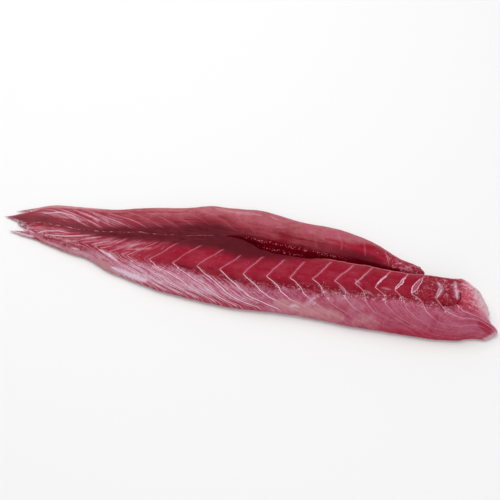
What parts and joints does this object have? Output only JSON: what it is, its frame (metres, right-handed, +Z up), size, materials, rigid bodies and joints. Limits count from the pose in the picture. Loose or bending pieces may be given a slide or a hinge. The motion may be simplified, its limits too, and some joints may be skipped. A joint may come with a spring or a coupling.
{
  "type": "raw kahawai fillet",
  "caption": "Raw skinless fish fillet lying flesh side up, thick back loin and thinner belly strip parted by a pin-bone cut, tapering to a ragged tail end.",
  "frame": {"origin": "centre of the bounding box at the height of the surface the fillet rests on", "axes": "+X runs along the fillet from the tail to the head end, -Y is the back loin's side, +Z is up out of the flesh side"},
  "size_m": [0.348, 0.0912, 0.0211],
  "materials": {
    "flesh": "wet raw fish flesh, deep pink-red with pale fibres and a dark blood line, satin to glossy"
  },
  "bodies": {
    "root": {"fillet": "flesh"}
  },
  "joints": []
}
